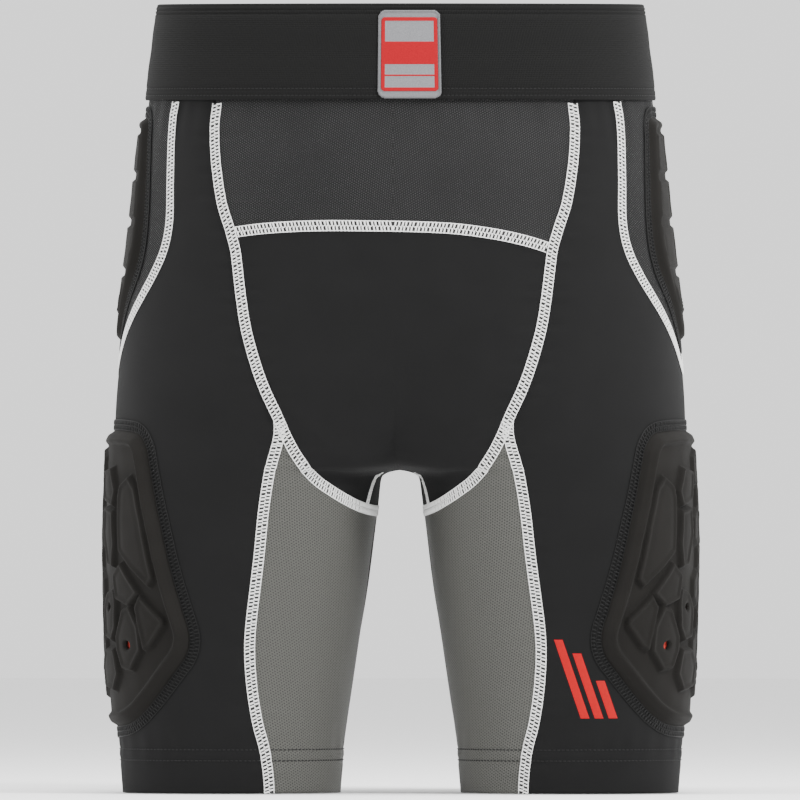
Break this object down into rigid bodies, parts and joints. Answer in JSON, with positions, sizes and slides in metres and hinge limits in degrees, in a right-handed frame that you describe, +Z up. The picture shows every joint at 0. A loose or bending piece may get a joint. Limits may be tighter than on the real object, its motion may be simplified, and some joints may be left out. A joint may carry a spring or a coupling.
{
  "type": "padded impact shorts",
  "caption": "Close-fitting stretch shorts with moulded foam pads at the hips, outer thighs and tailbone, worn under ski clothing to soften falls.",
  "frame": {"origin": "middle of the footprint, on the plane the hems stand on", "axes": "+Z up towards the waist, the front towards -Y, the wearer's left towards +X"},
  "size_m": [0.3508, 0.2324, 0.46],
  "materials": {
    "black_mesh": "open hexagonal mesh",
    "black_thread": "black flat lock thread",
    "grey_mesh": "fine dimpled knit",
    "grey_thread": "dark sewing thread",
    "label_satin": "blank satin label",
    "pad_backing": "brushed lining",
    "pad_cells": "cloth-faced moulded foam",
    "pad_cover": "stretch cloth bonded to the foam",
    "pad_foam": "closed-cell foam",
    "patch_print": "woven colour blocks",
    "patch_weave": "woven badge cloth with a merrowed edge",
    "red_transfer": "matt heat transfer",
    "stretch_jersey": "smooth stretch jersey",
    "waistband_elastic": "ribbed knitted elastic",
    "white_thread": "pale flat lock thread"
  },
  "bodies": {
    "root": {"back_rise_seam_left": "white_thread", "back_rise_seam_right": "white_thread", "care_label": "label_satin", "crotch_seam": "white_thread", "front_cross_seam": "white_thread", "front_mesh_panel": "black_mesh", "front_panel": "stretch_jersey", "front_rise_seam_left": "white_thread", "front_rise_seam_right": "white_thread", "hem_facing_left": "stretch_jersey", "hem_facing_right": "stretch_jersey", "hem_stitching_left": "grey_thread", "hem_stitching_right": "grey_thread", "hip_pad_backing_left": "pad_backing", "hip_pad_backing_right": "pad_backing", "hip_pad_cells_left": "pad_cells", "hip_pad_cells_right": "pad_cells", "hip_pad_cover_left": "pad_cover", "hip_pad_cover_right": "pad_cover", "hip_pad_foam_left": "pad_foam", "hip_pad_foam_right": "pad_foam", "hip_pad_seam_left": "black_thread", "hip_pad_seam_right": "black_thread", "inner_thigh_panel_left": "grey_mesh", "inner_thigh_panel_right": "grey_mesh", "inner_thigh_seam_back_left": "white_thread", "inner_thigh_seam_back_right": "white_thread", "inner_thigh_seam_front_left": "white_thread", "inner_thigh_seam_front_right": "white_thread", "leg_panel_left": "stretch_jersey", "leg_panel_right": "stretch_jersey", "patch_base": "patch_weave", "patch_print": "patch_print", "rear_cross_seam": "black_thread", "rear_yoke_mesh": "black_mesh", "seat_panel": "stretch_jersey", "side_mesh_left": "black_mesh", "side_mesh_right": "black_mesh", "side_seam_left": "white_thread", "side_seam_right": "white_thread", "tailbone_pad_backing": "pad_backing", "tailbone_pad_cells": "pad_cells", "tailbone_pad_cover": "pad_cover", "tailbone_pad_foam": "pad_foam", "tailbone_pad_seam": "black_thread", "thigh_emblem": "red_transfer", "thigh_pad_backing_left": "pad_backing", "thigh_pad_backing_right": "pad_backing", "thigh_pad_cells_left": "pad_cells", "thigh_pad_cells_right": "pad_cells", "thigh_pad_cover_left": "pad_cover", "thigh_pad_cover_right": "pad_cover", "thigh_pad_foam_left": "pad_foam", "thigh_pad_foam_right": "pad_foam", "thigh_pad_seam_left": "black_thread", "thigh_pad_seam_right": "black_thread", "waistband": "waistband_elastic", "waistband_stitching": "grey_thread"}
  },
  "joints": []
}
